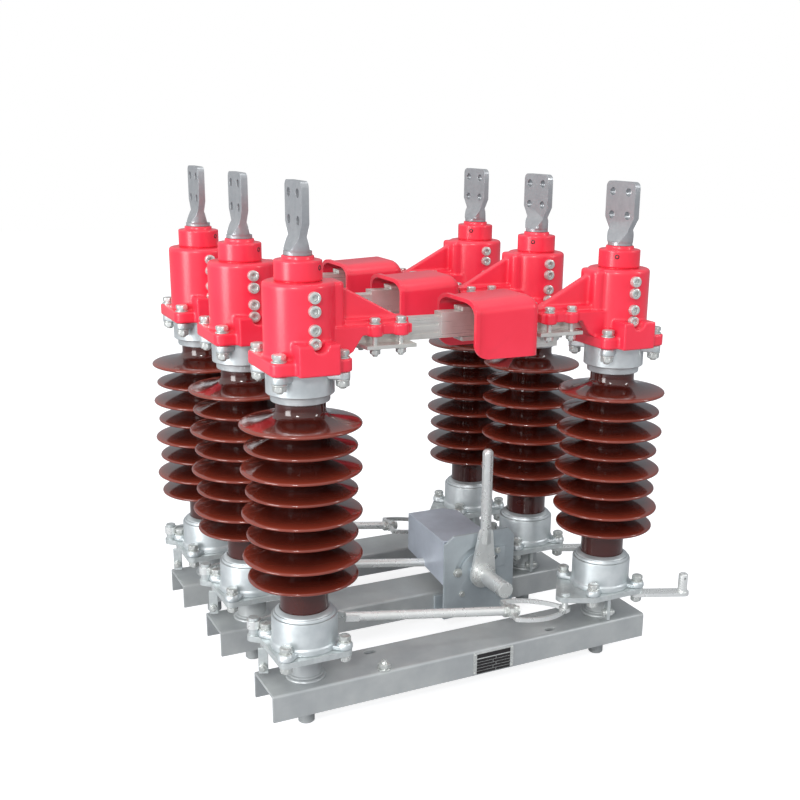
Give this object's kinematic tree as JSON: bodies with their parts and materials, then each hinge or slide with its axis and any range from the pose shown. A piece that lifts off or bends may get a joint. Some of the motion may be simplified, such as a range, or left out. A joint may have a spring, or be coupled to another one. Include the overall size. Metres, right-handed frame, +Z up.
{
  "type": "substation disconnect switch",
  "caption": "Outdoor centre-break disconnect switch: poles of paired turning porcelain columns with blade, hooded contact, crossed link rod and hand lever mechanism.",
  "frame": {"origin": "on the floor under the axis of the front pole's left column", "axes": "+X along a pole from its left column to its right, +Y back through the poles, +Z up"},
  "size_m": [0.8669, 0.7035, 0.9028],
  "materials": {
    "galvanised_steel": "silver-grey paint over steel",
    "cast_grey": "sand-cast, silver-grey",
    "brown_glaze": "glossy brown glaze on porcelain",
    "red_enamel": "glossy red enamel on castings",
    "cast_aluminium": "bead-blasted casting",
    "plated_contact": "plated bar",
    "zinc_steel": "zinc-plated",
    "dark_pipe": "dark grey"
  },
  "bodies": {
    "frame": {"base_channel_front": "galvanised_steel", "bearing_pedestals_front": "galvanised_steel", "arm_castings_middle": "red_enamel", "arm_castings_rear": "red_enamel", "base_channel_middle": "galvanised_steel", "base_channel_rear": "galvanised_steel", "bearing_pedestals_middle": "galvanised_steel", "bearing_pedestals_rear": "galvanised_steel", "blade_middle": "plated_contact", "blade_rear": "plated_contact", "contact_middle": "plated_contact", "contact_rear": "plated_contact", "drive_lever_middle": "zinc_steel", "drive_lever_rear": "zinc_steel", "insulator_caps_middle": "cast_grey", "insulator_caps_rear": "cast_grey", "insulators_middle": "brown_glaze", "insulators_rear": "brown_glaze", "link_rod_middle": "zinc_steel", "link_rod_rear": "zinc_steel", "mechanism_bracket": "galvanised_steel", "mechanism_cover": "galvanised_steel", "pipe_coupling": "dark_pipe", "rain_hood_middle": "red_enamel", "rain_hood_rear": "red_enamel", "terminals_middle": "cast_aluminium", "terminals_rear": "cast_aluminium", "turntables_middle": "cast_grey", "turntables_rear": "cast_grey"},
    "left_column": {"turntable_front_left": "cast_grey", "insulator_caps_front_left": "cast_grey", "insulator_front_left": "brown_glaze", "arm_casting_front_left": "red_enamel", "blade_front": "plated_contact"},
    "right_column": {"turntable_front_right": "cast_grey", "insulator_caps_front_right": "cast_grey", "insulator_front_right": "brown_glaze", "arm_casting_front_right": "red_enamel", "contact_front": "plated_contact", "rain_hood_front": "red_enamel", "drive_lever_front": "zinc_steel"},
    "left_terminal": {"terminal_front_left": "cast_aluminium"},
    "right_terminal": {"terminal_front_right": "cast_aluminium"},
    "link_rod": {"link_rod_front": "zinc_steel"},
    "hand_lever": {"mechanism_handle": "zinc_steel", "mechanism_shaft": "zinc_steel"}
  },
  "joints": [
    {"name": "right_column_turn", "type": "hinge", "parent": "frame", "child": "right_column", "pos_m": [0.6, 0, 0.126], "axis": [0, 0, 1], "range_deg": [0, 90]},
    {"name": "left_column_turn", "type": "hinge", "parent": "frame", "child": "left_column", "pos_m": [0, 0, 0.126], "axis": [0, 0, 1], "range_deg": [-90, 0]},
    {"name": "link_rod_pivot", "type": "hinge", "parent": "left_column", "child": "link_rod", "pos_m": [-0.06664, 0.06664, 0.166], "axis": [0, 0, 1], "range_deg": [0, 82.84]},
    {"name": "left_terminal_turn", "type": "hinge", "parent": "left_column", "child": "left_terminal", "pos_m": [0, 0, 0.786], "axis": [0, 0, 1], "range_deg": [0, 90]},
    {"name": "right_terminal_turn", "type": "hinge", "parent": "right_column", "child": "right_terminal", "pos_m": [0.6, 0, 0.786], "axis": [0, 0, 1], "range_deg": [-90, 0]},
    {"name": "hand_lever_turn", "type": "hinge", "parent": "frame", "child": "hand_lever", "pos_m": [0.43, 0.172, 0.132], "axis": [0, -1, 0], "range_deg": [0, 90]}
  ],
  "couplings": [
    {"joint": "left_column_turn", "follows": "right_column_turn", "ratio": -1},
    {"joint": "link_rod_pivot", "follows": "right_column_turn", "ratio": 0.92044},
    {"joint": "left_terminal_turn", "follows": "right_column_turn", "ratio": 1},
    {"joint": "right_terminal_turn", "follows": "right_column_turn", "ratio": -1}
  ]
}
